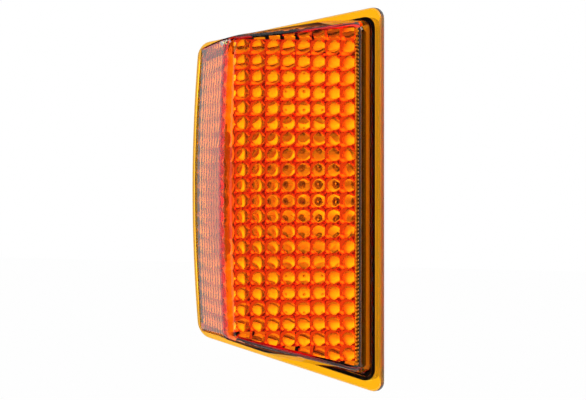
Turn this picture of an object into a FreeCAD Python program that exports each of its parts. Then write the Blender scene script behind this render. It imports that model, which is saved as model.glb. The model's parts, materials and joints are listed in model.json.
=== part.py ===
import FreeCAD, Part
import math
import os

from FreeCAD import Vector

# Corner indicator lamp, in millimetres and degrees.
# X runs to the right along the flange, Y runs back into the vehicle and Z is up.
# The origin is on the back face of the flange, on the axis of the bulb.

# Lens: two faces at a right angle over a flange whose top and bottom edges slope
LENS_DEPTH = 55.2
FRONT_ANGLE = 45.0
CORNER_RADIUS = 6.5
SIDE_CROWN_RADIUS = 1050.0
FACE_WALL = 2.2
SIDE_WALL = 2.6
EDGE_RADIUS = 1.5
WALL_CORNER_RADIUS = 4.0
TOP_DRAFT = 12.2
BOTTOM_DRAFT = 14.5
RIGHT_DRAFT = 10.0
TOP_WALL_SLOPE = -0.048
BOTTOM_WALL_SLOPE = 0.113
WALL_CREASE_RADIUS = 8.0

# Flange
FLANGE_RIGHT = 53.0
FLANGE_TOP = 79.5
FLANGE_BOTTOM = 80.7
TOP_SLOPE = 0.127
BOTTOM_SLOPE = 0.2245
FLANGE_THICK = 3.0
FLANGE_RIGHT_WIDTH = 5.5
FLANGE_TOP_WIDTH = 5.8
FLANGE_BOTTOM_WIDTH = 7.2
FLANGE_SIDE_WIDTH = 1.7
CORNER_LEDGE = 1.2
FLANGE_LEFT_WIDTH = 2.4
FLANGE_CORNER = 6.0
FLANGE_ROUND = 1.0
SEAT_STEP = 0.6
SEAT_PLAY = 0.2

# Pillow optics inside the two faces
PILLOW_PITCH = 7.0
PILLOW_RISE = 1.0
PILLOW_FACETS = 3
CORNER_RISE = 0.5
FRONT_COLUMNS = 8
SIDE_COLUMNS = 8

# Tongue of the lens, seal and groove of the housing
SEAT_END_WIDTH = 5.0
TONGUE_INSET = 0.6
TONGUE_THICK = 1.6
TONGUE_LENGTH = 3.0
GROOVE_PLAY = 0.3
SEAL_HEIGHT = 1.2
RIM_WALL = 1.8
RIM_DEPTH = 6.0

# Housing
HOUSING_DEPTH = 24.0
HOUSING_WALL = 2.2
TUB_STEP = 3.4
TUB_TAPER = 5.6
TUB_CORNER = 5.0
LEDGE_WIDTH = 2.2
RIB_THICK = 1.8
RIB_HEIGHT = 2.0
RIB_X = 27.0

# Reflector
REFLECTOR_THICK = 1.5
REFLECTOR_PLAY = 0.2
REFLECTOR_LIP = 1.7
FOCAL_LENGTH = 22.0
BOWL_DEPTH = 12.0
BULB_HOLE_RADIUS = 15.5

# Reflector screws
SCREW_SPREAD = 43.0
SCREW_RADIUS = 1.5
SCREW_LENGTH = 9.0
SCREW_HEAD_RADIUS = 3.2
SCREW_HEAD_HEIGHT = 2.0
SCREW_SLOT = 0.9
SCREW_PLAY = 0.2
POST_RADIUS = 3.6

# Mounting studs
STUD_SPREAD = 55.0
STUD_RADIUS = 3.0
STUD_LENGTH = 18.0
STUD_HEAD_FLATS = 10.0
STUD_HEAD_HEIGHT = 4.0
STUD_PLAY = 0.05
STUD_NECK_RADIUS = 3.6
STUD_BOSS_RADIUS = 8.0
STUD_BOSS_FLOOR = 1.2

# Vent pipe and its cap
VENT_X = 14.0
VENT_Z = -36.0
VENT_RADIUS = 4.0
VENT_BORE = 1.6
VENT_LENGTH = 8.0
VENT_CAP_WALL = 1.8
VENT_CAP_PLAY = 0.05
VENT_CAP_GAP = 1.5

# Bulb: 21 W, cap of 15 mm with two level pins
LIGHT_CENTRE = 31.8
GLASS_RADIUS = 13.0
GLASS_WALL = 0.8
NECK_RADIUS = 6.9
NECK_DEPTH = 4.0
CAP_RADIUS = 7.5
CAP_WALL = 0.35
CAP_FRONT = 12.0
CAP_END = 5.2
CAP_CONE = 2.0
CAP_MOUTH = 5.0
PIN_RADIUS = 1.0
PIN_REACH = 8.3
INSULATOR_HEIGHT = 1.4
INSULATOR_PLAY = 0.05
CONTACT_RADIUS = 2.6
CONTACT_HEIGHT = 0.6
STEM_RADIUS = 2.0
STEM_TOP = 10.0
FILAMENT_LENGTH = 6.0
FILAMENT_RADIUS = 0.45
FILAMENT_WIRE = 0.14
FILAMENT_TURNS = 8
LEAD_WIRE = 0.3

# Bulb holder, turned in the port of the housing
PORT_RADIUS = 17.0
PORT_PLAY = 0.08
LUG_COUNT = 3
LUG_REACH = 3.2
LUG_ANGLE = 26.0
LUG_THICK = 2.4
LUG_PLAY = 0.3
NOTCH_PLAY = 2.0
UNLOCK_ANGLE = 40.0
HOLDER_SEAL_HEIGHT = 2.0
HOLDER_SEAL_COVER = 1.4
HOLDER_FLANGE_RADIUS = 23.0
HOLDER_FLANGE_THICK = 3.0
NOSE_RADIUS = 13.5
NOSE_FRONT = 8.6
GRIP_RADIUS = 13.5
WING_SPAN = 21.0
WING_THICK = 3.0
WING_LENGTH = 11.0
FLOOR_THICK = 4.0
SHROUD_WIDTH = 25.0
SHROUD_HEIGHT = 11.0
SHROUD_WALL = 2.0
SHROUD_DEPTH = 13.5
LATCH_WIDTH = 6.0
LATCH_HEIGHT = 1.5
LATCH_LENGTH = 3.0
LATCH_SETBACK = 4.0

# Contacts in the holder
SLEEVE_BORE = 7.65
SLEEVE_WALL = 0.75
SLEEVE_FRONT = 8.0
SLEEVE_END = 7.6
SLEEVE_PLAY = 0.05
SLOT_PLAY = 0.2
SLOT_TURN = 30.0
DISC_RADIUS = 7.4
DISC_THICK = 1.5
BUTTON_RADIUS = 2.4
BUTTON_HEAD = 0.8
BUTTON_SHANK = 1.5
SPRING_RADIUS = 4.2
SPRING_WIRE = 0.4
SPRING_LENGTH = 5.3
SPRING_TURNS = 3
BLADE_WIDTH = 6.3
BLADE_THICK = 0.8
BLADE_PLAY = 0.05
BLADE_SETBACK = 2.0
EARTH_LAP = 5.0

# Places worked out from the sizes above
ANGLE = math.radians(FRONT_ANGLE)
FRONT_RUN = Vector(math.cos(ANGLE), math.sin(ANGLE), 0)
SIDE_RUN = Vector(-math.sin(ANGLE), math.cos(ANGLE), 0)
FRONT_INWARD = Vector(-math.sin(ANGLE), math.cos(ANGLE), 0)
SIDE_INWARD = Vector(math.cos(ANGLE), math.sin(ANGLE), 0)
APEX = Vector(0, -LENS_DEPTH, 0)
SIDE_HALF_HEIGHT = 0.5 * (FLANGE_TOP + FLANGE_BOTTOM) - SEAT_END_WIDTH
SIDE_SAG = SIDE_CROWN_RADIUS - math.sqrt(SIDE_CROWN_RADIUS ** 2 - SIDE_HALF_HEIGHT ** 2)
LEFT_BOW = SIDE_SAG / math.cos(ANGLE)
SIDE_FOOT = (LENS_DEPTH - FLANGE_THICK) * math.tan(ANGLE) - LEFT_BOW
FLANGE_LEFT = SIDE_FOOT + FLANGE_LEFT_WIDTH
FAR = 2.0 * LENS_DEPTH
FLAT = 1e-6

RIM_Y = -SEAT_STEP
GROOVE_INSET = TONGUE_INSET - GROOVE_PLAY
GROOVE_WIDTH = TONGUE_THICK + 2 * GROOVE_PLAY
RIM_INSET = GROOVE_INSET - RIM_WALL
POCKET_INSET = GROOVE_INSET + GROOVE_WIDTH + RIM_WALL
LEDGE_Y = REFLECTOR_LIP + REFLECTOR_THICK
LAND_Y = REFLECTOR_LIP
BOWL_RADIUS = math.sqrt(4.0 * FOCAL_LENGTH * BOWL_DEPTH)
VERTEX_Y = LAND_Y + BOWL_DEPTH
WALL_IN = HOUSING_DEPTH - HOUSING_WALL
STUD_HEAD_END = WALL_IN + STUD_HEAD_HEIGHT
STUD_NECK_END = STUD_HEAD_END + STUD_BOSS_FLOOR

FILAMENT_Y = VERTEX_Y - FOCAL_LENGTH
PIN_Y = FILAMENT_Y + LIGHT_CENTRE
CAP_FRONT_Y = PIN_Y - CAP_FRONT
CAP_END_Y = PIN_Y + CAP_END
INSULATOR_Y = CAP_END_Y + INSULATOR_HEIGHT
CONTACT_Y = INSULATOR_Y + CONTACT_HEIGHT
NECK_END_Y = CAP_FRONT_Y + NECK_DEPTH
STEM_TOP_Y = FILAMENT_Y + STEM_TOP

LUG_BACK = WALL_IN - LUG_PLAY
LUG_FRONT = LUG_BACK - LUG_THICK
HOLDER_FLANGE_Y = HOUSING_DEPTH + HOLDER_SEAL_HEIGHT
GRIP_Y = HOLDER_FLANGE_Y + HOLDER_FLANGE_THICK
HOLDER_RADIUS = PORT_RADIUS - PORT_PLAY
SLEEVE_RADIUS = SLEEVE_BORE + SLEEVE_WALL
SLEEVE_END_Y = PIN_Y + SLEEVE_END
EARTH_Y = SLEEVE_END_Y - EARTH_LAP
DISC_Y = CONTACT_Y + BUTTON_HEAD
SPRING_Y = DISC_Y + DISC_THICK
PLATE_Y = SPRING_Y + SPRING_LENGTH
FLOOR_Y = PLATE_Y + BLADE_THICK
SHROUD_Y = FLOOR_Y + FLOOR_THICK
HOLDER_END = SHROUD_Y + SHROUD_DEPTH
BLADE_END = HOLDER_END - BLADE_SETBACK


# Helpers
def cylinder(radius, y0, y1, x=0.0, z=0.0):
    return Part.makeCylinder(radius, y1 - y0, Vector(x, y0, z), Vector(0, 1, 0))


def box(x0, x1, y0, y1, z0, z1):
    return Part.makeBox(x1 - x0, y1 - y0, z1 - z0, Vector(x0, y0, z0))


def turned(points):
    """Solid turned about Y from (radius, y) points."""
    face = flat_face([Vector(radius, y, 0) for radius, y in points])
    return face.revolve(Vector(0, 0, 0), Vector(0, 1, 0), 360)


def sector(inner, outer, y0, y1, middle, width):
    """Part of a ring about Y, centred on an angle measured from +X."""
    points = [Vector(inner, y0, 0), Vector(outer, y0, 0), Vector(outer, y1, 0), Vector(inner, y1, 0)]
    solid = flat_face(points).revolve(Vector(0, 0, 0), Vector(0, 1, 0), width)
    solid.rotate(Vector(0, 0, 0), Vector(0, 1, 0), middle - width / 2)
    return solid


def flat_face(corners):
    return Part.Face(Part.makePolygon(corners + corners[:1]))


def hexagon(flats, y0, y1, x, z):
    radius = flats / math.sqrt(3)
    corners = []
    for step in range(6):
        angle = math.radians(60 * step)
        corners.append(Vector(x + radius * math.cos(angle), y0, z + radius * math.sin(angle)))
    return flat_face(corners).extrude(Vector(0, y1 - y0, 0))


def rod(start, end, radius):
    return Part.makeCylinder(radius, (end - start).Length, start, end - start)


def coil(radius, wire, length, turns, start, axis):
    helix = Part.Wire(Part.makeHelix(length / turns, length, radius).Edges)
    circle = Part.Circle(Vector(radius, 0, 0), Vector(0, 1, 0), wire)
    solid = helix.makePipeShell([Part.Wire(circle.toShape())], True, True)
    solid = Part.Solid(solid) if solid.ShapeType == "Shell" else solid
    solid.Placement = FreeCAD.Placement(start, FreeCAD.Rotation(Vector(0, 0, 1), axis))
    return solid


def crown_sag(z):
    return SIDE_CROWN_RADIUS - math.sqrt(SIDE_CROWN_RADIUS ** 2 - z ** 2)


def top_edge(x, inset):
    return FLANGE_TOP + TOP_SLOPE * x - inset * math.hypot(1, TOP_SLOPE)


def bottom_edge(x, inset):
    return -FLANGE_BOTTOM - BOTTOM_SLOPE * x + inset * math.hypot(1, BOTTOM_SLOPE)


def outline(right, left, end, y):
    """Flange-shaped wire with its edges moved in, its left edge bowed with the side face."""
    x_right = FLANGE_RIGHT - right
    x_left = left - FLANGE_LEFT
    top_right = Vector(x_right, y, top_edge(x_right, end))
    top_left = Vector(x_left, y, top_edge(x_left, end))
    bottom_left = Vector(x_left, y, bottom_edge(x_left, end))
    bottom_right = Vector(x_right, y, bottom_edge(x_right, end))
    bow = Vector(x_left - LEFT_BOW, y, 0.5 * (top_left.z + bottom_left.z))
    return Part.Wire([
        Part.makeLine(top_right, top_left),
        Part.Arc(top_left, bow, bottom_left).toShape(),
        Part.makeLine(bottom_left, bottom_right),
        Part.makeLine(bottom_right, top_right),
    ])


def seat_outline(inset, y):
    """Outline that the tongue, the groove and the housing follow, moved in."""
    return outline(FLANGE_RIGHT_WIDTH + inset, FLANGE_LEFT_WIDTH + inset, SEAT_END_WIDTH + inset, y)


def rounded(solid, radius):
    """Rounds the edges that run from front to back."""
    edges = [edge for edge in solid.Edges if len(edge.Vertexes) == 2 and runs_back(edge)]
    return solid.makeFillet(radius, edges)


def runs_back(edge):
    first, last = (vertex.Point for vertex in edge.Vertexes)
    along = last - first
    return along.Length > 0 and abs(along.y) > 0.7 * along.Length


def slab(wire, thick, radius):
    return rounded(Part.Face(wire).extrude(Vector(0, thick, 0)), radius)


def wall_slab(inset, y0, y1):
    """Slab inside the seat's outline, with corners that follow the wall's."""
    radius = max(WALL_CORNER_RADIUS - inset, WALL_CORNER_RADIUS / 3)
    return slab(seat_outline(inset, y0), y1 - y0, radius)


def wall_ring(inset, thick, y0, y1):
    return wall_slab(inset, y0, y1).cut(wall_slab(inset + thick, y0, y1))


# Lens
def wall_planes():
    """Top and bottom walls, each with a facet for the front and one for the side.

    A facet is its level at x = 0 on the front of the flange, its slope along X and its draft along Y.
    The two facets of a wall meet at the upright corner.
    """
    reach = LENS_DEPTH - FLANGE_THICK
    x = FLANGE_RIGHT - FLANGE_RIGHT_WIDTH
    draft = math.tan(math.radians(TOP_DRAFT))
    level = top_edge(x, FLANGE_TOP_WIDTH) - TOP_WALL_SLOPE * x
    side_level = top_edge(0, FLANGE_SIDE_WIDTH)
    tops = [(level, TOP_WALL_SLOPE, draft), (side_level, TOP_SLOPE, draft - (level - side_level) / reach)]
    draft = -math.tan(math.radians(BOTTOM_DRAFT))
    level = bottom_edge(x, FLANGE_BOTTOM_WIDTH) + BOTTOM_WALL_SLOPE * x
    side_level = bottom_edge(0, FLANGE_SIDE_WIDTH)
    bottoms = [(level, -BOTTOM_WALL_SLOPE, draft)]
    bottoms.append((side_level, -BOTTOM_SLOPE, draft - (level - side_level) / reach))
    return tops, bottoms


def beside_plane(plane, offset, y_back, inward):
    """Block on the inner side of a wall's facet, up to the drafted right wall."""
    level, slope, draft = plane
    corners = []
    for y, ends in ((y_back, (1, 0)), (-FAR, (0, 1))):
        x_right = FLANGE_RIGHT - FLANGE_RIGHT_WIDTH - offset + y * math.tan(math.radians(RIGHT_DRAFT))
        for end in ends:
            x = x_right if end else -FAR
            z = level + slope * x + draft * (y + FLANGE_THICK) + inward * offset * math.hypot(1, slope)
            corners.append(Vector(x, y, z))
    return flat_face(corners).extrude(Vector(0, 0, inward * 3 * FAR))


def draft_block(offset, y_back):
    """Block between the drafted right, top and bottom walls, open to the left."""
    tops, bottoms = wall_planes()
    block = beside_plane(tops[0], offset, y_back, -1)
    for plane, inward in ((tops[1], -1), (bottoms[0], 1), (bottoms[1], 1)):
        block = block.common(beside_plane(plane, offset, y_back, inward))
    half = FLANGE_RIGHT / 2
    block = block.makeFillet(WALL_CORNER_RADIUS - offset / 2, lengthwise(block, half, FAR))
    return block.makeFillet(WALL_CREASE_RADIUS, lengthwise(block, -half, half))


def lengthwise(block, x0, x1):
    """Edges that run from front to back, with their middle between two places."""
    return [edge for edge in block.Edges if runs_back(edge) and x0 < edge.CenterOfMass.x < x1]


def hood():
    """Outside of the lens in front of its seat: flat front face, crowned side face, rounded edges."""
    block = draft_block(0.0, -FLANGE_THICK / 2)
    corners = [APEX - FRONT_RUN * FAR, APEX + FRONT_RUN * FAR]
    corners += [corner + FRONT_INWARD * 2 * FAR for corner in reversed(corners)]
    front = flat_face(corners).extrude(Vector(0, 0, 2 * FAR))
    front.translate(Vector(0, 0, -FAR))
    axis_start = APEX + SIDE_INWARD * SIDE_CROWN_RADIUS - SIDE_RUN * FAR
    side = Part.makeCylinder(SIDE_CROWN_RADIUS, 4 * FAR, axis_start, SIDE_RUN)
    body = block.common(front).common(side)
    body = body.makeFillet(CORNER_RADIUS, [edge for edge in body.Edges if is_corner_edge(edge)])
    body = body.makeFillet(EDGE_RADIUS, [edge for edge in body.Edges if is_rim_edge(body, edge)])
    return body.common(slab(outline(0, CORNER_LEDGE, CORNER_LEDGE, -FAR), FAR, FLANGE_CORNER))


def is_corner_edge(edge):
    """The upright edge between the front face and the side face."""
    first, last = (vertex.Point for vertex in edge.Vertexes)
    middle = edge.CenterOfMass
    near_apex = abs(middle.x) < CORNER_RADIUS and abs(middle.y + LENS_DEPTH) < CORNER_RADIUS
    return near_apex and abs(last.z - first.z) > 0.9 * (last - first).Length


def is_rim_edge(body, edge):
    """An edge where the front face, the corner or the side face meets a wall."""
    looks = {looks_forward(face) for face in body.ancestorsOfType(edge, Part.Face)}
    return len(looks) == 2 and edge.BoundBox.YMin < -FLANGE_THICK


def looks_forward(face):
    """True for a face that looks forwards more than a drafted wall does."""
    u_min, u_max, v_min, v_max = face.ParameterRange
    return face.normalAt(0.5 * (u_min + u_max), 0.5 * (v_min + v_max)).y < -0.4


def bulge(share):
    """Height of a pillow at a share of its width, between two valleys."""
    return 4 * PILLOW_RISE * share * (1 - share)


def pillow_cells(z):
    """Cells of the inner faces at one level, right to left, and the pole that rounds the corner."""
    sag = SIDE_INWARD * crown_sag(z)
    stops = [CORNER_RADIUS + PILLOW_PITCH * step for step in range(FRONT_COLUMNS, -1, -1)]
    front = [APEX + FRONT_INWARD * FACE_WALL + FRONT_RUN * stop for stop in [FAR] + stops]
    stops = [CORNER_RADIUS + PILLOW_PITCH * step for step in range(SIDE_COLUMNS + 1)]
    side = [APEX + SIDE_INWARD * FACE_WALL + SIDE_RUN * stop + sag for stop in stops + [FAR]]
    corner = APEX + (FRONT_INWARD + SIDE_INWARD) * FACE_WALL + sag
    corner += (FRONT_INWARD + SIDE_INWARD).normalize() * 2 * CORNER_RISE
    cells = [(start, end, FRONT_INWARD, FRONT_INWARD) for start, end in zip(front, front[1:])]
    cells.append((front[-1], side[0], FRONT_INWARD, SIDE_INWARD))
    cells += [(start, end, SIDE_INWARD, SIDE_INWARD) for start, end in zip(side, side[1:])]
    return cells, corner


def pillow_section(z):
    """Points of the inner faces at one level, right to left, lifted by the row's own bulge."""
    lift = bulge((z / PILLOW_PITCH) % 1)
    cells, corner = pillow_cells(z)
    points = []
    for start, end, first_inward, last_inward in cells:
        turns = first_inward != last_inward
        is_margin = (end - start).Length > 2 * CORNER_RADIUS
        for step in range(1 if is_margin else PILLOW_FACETS):
            share = step / PILLOW_FACETS
            point = start * (1 - share) + end * share
            inward = (first_inward * (1 - share) + last_inward * share).normalize()
            if turns:
                point += (corner - (start + end) * 0.5) * 2 * share * (1 - share)
            elif not is_margin:
                point += inward * bulge(share)
            points.append(at_level(point + inward * lift, z))
    last = cells[-1]
    return points + [at_level(last[1] + last[3] * lift, z)]


def at_level(point, z):
    return Vector(point.x, point.y, z)


def facets(a, b, c, d):
    """One flat four-sided face, or two triangles where its corners don't lie in a plane."""
    normal = (b - a).cross(c - a).normalize()
    if abs(normal.dot(d - a)) < FLAT:
        return [flat_face([a, b, c, d])]
    return [flat_face([a, b, c]), flat_face([a, c, d])]


def pillow_cavity():
    """Room inside the lens behind its pillows, before the walls trim it."""
    rows_up = math.ceil(top_edge(FLANGE_RIGHT, 0) / PILLOW_PITCH)
    rows_down = math.ceil(-bottom_edge(FLANGE_RIGHT, 0) / PILLOW_PITCH)
    steps = range(-rows_down * PILLOW_FACETS, rows_up * PILLOW_FACETS + 1)
    lines = [pillow_section(PILLOW_PITCH * step / PILLOW_FACETS) for step in steps]
    faces = []
    for low, high in zip(lines, lines[1:]):
        for a, b, c, d in zip(low, low[1:], high[1:], high):
            faces += facets(a, b, c, d)
    middle = pillow_section(0)
    left = middle[-1] + SIDE_INWARD * FAR
    right = middle[0] + FRONT_INWARD * FAR
    backs = []
    for line in (lines[0], lines[-1]):
        backs.append([at_level(point, line[0].z) for point in (left, right)])
        faces.append(flat_face(line + backs[-1]))
    for end, place in ((-1, 0), (0, 1)):
        faces.append(flat_face([line[end] for line in lines] + [backs[1][place], backs[0][place]]))
    faces.append(flat_face(backs[0] + backs[1][::-1]))
    shell = Part.makeCompound(faces)
    shell.sewShape()
    return Part.Solid(shell.Shells[0])


def lens():
    flange = slab(outline(0, 0, 0, -FLANGE_THICK), FLANGE_THICK, FLANGE_CORNER)
    front_edges = [edge for edge in flange.Edges if edge.BoundBox.YMax < 0.01 - FLANGE_THICK]
    flange = flange.makeFillet(FLANGE_ROUND, front_edges)
    left_limit = Part.Face(seat_outline(SIDE_WALL, -FAR)).extrude(Vector(0, FAR + SEAT_STEP, 0))
    cavity = draft_block(SIDE_WALL, SEAT_STEP).common(left_limit).common(pillow_cavity())
    body = hood().fuse(flange).cut(cavity)
    body = body.cut(wall_slab(RIM_INSET - SEAT_PLAY, RIM_Y, SEAT_STEP))
    return body.fuse(wall_ring(TONGUE_INSET, TONGUE_THICK, RIM_Y, RIM_Y + TONGUE_LENGTH)).removeSplitter()


def lens_seal():
    y0 = RIM_Y + TONGUE_LENGTH
    return wall_ring(GROOVE_INSET, GROOVE_WIDTH, y0, y0 + SEAL_HEIGHT)


# Housing and what it carries
def tub(inset_front, inset_back, y0, y1):
    wires = [seat_outline(inset_front, y0), seat_outline(inset_back, y1)]
    return rounded(Part.makeLoft(wires, True, True), TUB_CORNER)


def housing():
    tub_inset = TUB_STEP + TUB_TAPER
    body = wall_slab(RIM_INSET, RIM_Y, RIM_Y + RIM_DEPTH)
    body = body.fuse(tub(TUB_STEP, tub_inset, RIM_Y + RIM_DEPTH, HOUSING_DEPTH))
    body = body.cut(wall_slab(POCKET_INSET, RIM_Y - SEAT_STEP, LEDGE_Y))
    body = body.cut(tub(POCKET_INSET + LEDGE_WIDTH, tub_inset + HOUSING_WALL, LEDGE_Y, WALL_IN))
    groove_end = RIM_Y + TONGUE_LENGTH + SEAL_HEIGHT
    body = body.cut(wall_ring(GROOVE_INSET, GROOVE_WIDTH, RIM_Y, groove_end))
    added = []
    removed = [cylinder(PORT_RADIUS, WALL_IN, HOUSING_DEPTH)]
    for lug in range(LUG_COUNT):
        middle = 360.0 * lug / LUG_COUNT + UNLOCK_ANGLE
        reach = PORT_RADIUS + LUG_REACH + LUG_PLAY
        removed.append(sector(0, reach, WALL_IN, HOUSING_DEPTH, middle, LUG_ANGLE + NOTCH_PLAY))
    for sign in (1, -1):
        z = sign * STUD_SPREAD
        added.append(cylinder(STUD_BOSS_RADIUS, WALL_IN, STUD_NECK_END, 0, z))
        removed.append(hexagon(STUD_HEAD_FLATS + 2 * STUD_PLAY, WALL_IN, STUD_HEAD_END, 0, z))
        removed.append(cylinder(STUD_NECK_RADIUS + STUD_PLAY, STUD_HEAD_END, STUD_NECK_END, 0, z))
        z = sign * SCREW_SPREAD
        added.append(cylinder(POST_RADIUS, LEDGE_Y, HOUSING_DEPTH, 0, z))
        removed.append(cylinder(SCREW_RADIUS, LEDGE_Y, LEDGE_Y + SCREW_LENGTH, 0, z))
        x = sign * RIB_X
        inset = SEAT_END_WIDTH + tub_inset + RIB_HEIGHT
        low = bottom_edge(x, inset) + TUB_CORNER
        high = top_edge(x, inset) - TUB_CORNER
        half = RIB_THICK / 2
        added.append(box(x - half, x + half, WALL_IN, HOUSING_DEPTH + RIB_HEIGHT, low, high))
    vent_end = HOUSING_DEPTH + VENT_LENGTH
    added.append(cylinder(VENT_RADIUS, WALL_IN, vent_end, VENT_X, VENT_Z))
    removed.append(cylinder(VENT_BORE, WALL_IN, vent_end, VENT_X, VENT_Z))
    return body.fuse(added).cut(removed).removeSplitter()


def reflector():
    inset = POCKET_INSET + REFLECTOR_PLAY
    pan = wall_slab(inset, 0, LEDGE_Y).cut(wall_slab(inset + REFLECTOR_THICK, 0, LAND_Y))
    pan = pan.cut(cylinder(BOWL_RADIUS, LAND_Y, LEDGE_Y))
    front = bowl_curve(0)
    back = bowl_curve(REFLECTOR_THICK)
    edges = [bezier_edge(front), Part.makeLine(front[-1], back[-1])]
    edges += [bezier_edge(back), Part.makeLine(back[0], front[0])]
    profile = Part.Face(Part.Wire(Part.__sortEdges__(edges)))
    body = pan.fuse(profile.revolve(Vector(0, 0, 0), Vector(0, 1, 0), 360))
    for z in (SCREW_SPREAD, -SCREW_SPREAD):
        body = body.cut(cylinder(SCREW_RADIUS + SCREW_PLAY, LAND_Y, LEDGE_Y, 0, z))
    return body.removeSplitter()


def bezier_edge(poles):
    curve = Part.BezierCurve()
    curve.setPoles(poles)
    return curve.toShape()


def bowl_curve(shift):
    """Poles of the bowl's parabola from the bulb hole to the rim."""
    start, end = BULB_HOLE_RADIUS, BOWL_RADIUS
    poles = [(start, start * start), (0.5 * (start + end), start * end), (end, end * end)]
    return [Vector(radius, VERTEX_Y - square / (4 * FOCAL_LENGTH) + shift, 0) for radius, square in poles]


def reflector_screws():
    screws = []
    for z in (SCREW_SPREAD, -SCREW_SPREAD):
        top = LAND_Y - SCREW_HEAD_HEIGHT
        head = cylinder(SCREW_HEAD_RADIUS, top, LAND_Y, 0, z)
        rim = [edge for edge in head.Edges if edge.BoundBox.YMax < top + 0.01]
        head = head.makeFillet(SCREW_HEAD_HEIGHT / 2, rim)
        reach = SCREW_HEAD_RADIUS - SCREW_HEAD_HEIGHT / 2
        half = SCREW_SLOT / 2
        slots = box(-reach, reach, top, top + SCREW_SLOT, z - half, z + half)
        slots = slots.fuse(box(-half, half, top, top + SCREW_SLOT, z - reach, z + reach))
        shank = cylinder(SCREW_RADIUS, LAND_Y, LEDGE_Y + SCREW_LENGTH - SCREW_RADIUS, 0, z)
        screws.append(head.cut(slots).fuse(shank))
    return Part.makeCompound(screws)


def mounting_studs():
    studs = []
    for z in (STUD_SPREAD, -STUD_SPREAD):
        end = STUD_HEAD_END + STUD_LENGTH
        shank = cylinder(STUD_RADIUS, STUD_NECK_END, end, 0, z)
        tip = [edge for edge in shank.Edges if edge.BoundBox.YMin > end - 0.01]
        shank = shank.makeChamfer(STUD_RADIUS / 4, tip)
        head = hexagon(STUD_HEAD_FLATS, WALL_IN, STUD_HEAD_END, 0, z)
        neck = cylinder(STUD_NECK_RADIUS, STUD_HEAD_END, STUD_NECK_END, 0, z)
        studs.append(head.fuse([neck, shank]))
    return Part.makeCompound(studs)


def breather_cap():
    start = HOUSING_DEPTH + VENT_CAP_GAP
    end = HOUSING_DEPTH + VENT_LENGTH
    radius = VENT_RADIUS + VENT_CAP_PLAY
    cap = cylinder(radius + VENT_CAP_WALL, start, end + VENT_CAP_WALL, VENT_X, VENT_Z)
    crown = [edge for edge in cap.Edges if edge.BoundBox.YMin > end]
    cap = cap.makeFillet(VENT_CAP_WALL / 2, crown)
    cap = cap.cut(cylinder(radius, start, end, VENT_X, VENT_Z))
    half = VENT_BORE / 2
    top = end + VENT_CAP_WALL
    return cap.cut(box(VENT_X - half, VENT_X + half, end, top, VENT_Z - half, VENT_Z + half))


# Bulb
def glass_body(inset):
    """Solid bulb shape: neck, cone and ball about the filament."""
    neck = NECK_RADIUS - inset
    ball = GLASS_RADIUS - inset
    rise = CAP_FRONT_Y - FILAMENT_Y
    touch = math.atan2(rise, neck) - math.acos(ball / math.hypot(neck, rise))
    half = 0.5 * (touch - math.pi / 2)
    tip = Vector(0, FILAMENT_Y - ball, 0)
    tangent = Vector(ball * math.cos(touch), FILAMENT_Y + ball * math.sin(touch), 0)
    bend = Vector(ball * math.cos(half), FILAMENT_Y + ball * math.sin(half), 0)
    points = [tip, Vector(0, NECK_END_Y, 0), Vector(neck, NECK_END_Y, 0)]
    points += [Vector(neck, CAP_FRONT_Y, 0), tangent]
    edges = [Part.makeLine(start, end) for start, end in zip(points, points[1:])]
    edges.append(Part.Arc(tangent, bend, tip).toShape())
    return Part.Face(Part.Wire(edges)).revolve(Vector(0, 0, 0), Vector(0, 1, 0), 360)


def bulb_glass():
    return glass_body(0).cut(glass_body(GLASS_WALL))


def lead_rods():
    rods = []
    for sign in (1, -1):
        foot = Vector(sign * STEM_RADIUS / 2, STEM_TOP_Y + STEM_RADIUS, 0)
        hook = Vector(sign * (FILAMENT_LENGTH / 2 + LEAD_WIRE), FILAMENT_Y - FILAMENT_RADIUS, 0)
        rods.append(rod(foot, hook, LEAD_WIRE))
    return Part.makeCompound(rods)


def bulb_stem():
    flare = NECK_RADIUS - GLASS_WALL
    points = [(0, NECK_END_Y), (flare, NECK_END_Y), (flare, NECK_END_Y - GLASS_WALL)]
    points += [(STEM_RADIUS, CAP_FRONT_Y - STEM_RADIUS), (STEM_RADIUS, STEM_TOP_Y), (0, STEM_TOP_Y)]
    return turned(points).cut(lead_rods().Solids)


def filament():
    start = Vector(-FILAMENT_LENGTH / 2, FILAMENT_Y, 0)
    return coil(FILAMENT_RADIUS, FILAMENT_WIRE, FILAMENT_LENGTH, FILAMENT_TURNS, start, Vector(1, 0, 0))


def filament_supports():
    return Part.makeCompound([wire.cut(filament()) for wire in lead_rods().Solids])


def cap_bore(y):
    """Inner radius of the cap's cone at a depth."""
    bore = CAP_RADIUS - CAP_WALL
    return bore + (CAP_MOUTH - bore) * max(0.0, y - CAP_END_Y + CAP_CONE) / CAP_CONE


def bulb_cap():
    cone_y = CAP_END_Y - CAP_CONE
    points = [(CAP_RADIUS, CAP_FRONT_Y), (CAP_RADIUS, cone_y), (CAP_MOUTH + CAP_WALL, CAP_END_Y)]
    points += [(cap_bore(y), y) for y in (CAP_END_Y, cone_y, CAP_FRONT_Y)]
    return turned(points).cut(bayonet_pins().Solids)


def bayonet_pins():
    """Two pins that go through the cap's wall."""
    inner = CAP_RADIUS - 3 * CAP_WALL
    ends = [(Vector(sign * inner, PIN_Y, 0), Vector(sign * PIN_REACH, PIN_Y, 0)) for sign in (1, -1)]
    return Part.makeCompound([rod(start, end, PIN_RADIUS) for start, end in ends])


def cap_insulator():
    front = CAP_END_Y - INSULATOR_HEIGHT
    points = [(0, front), (cap_bore(front) - INSULATOR_PLAY, front)]
    points += [(CAP_MOUTH - INSULATOR_PLAY, CAP_END_Y)]
    points += [(CONTACT_RADIUS + INSULATOR_HEIGHT / 2, INSULATOR_Y), (0, INSULATOR_Y)]
    return turned(points)


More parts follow.
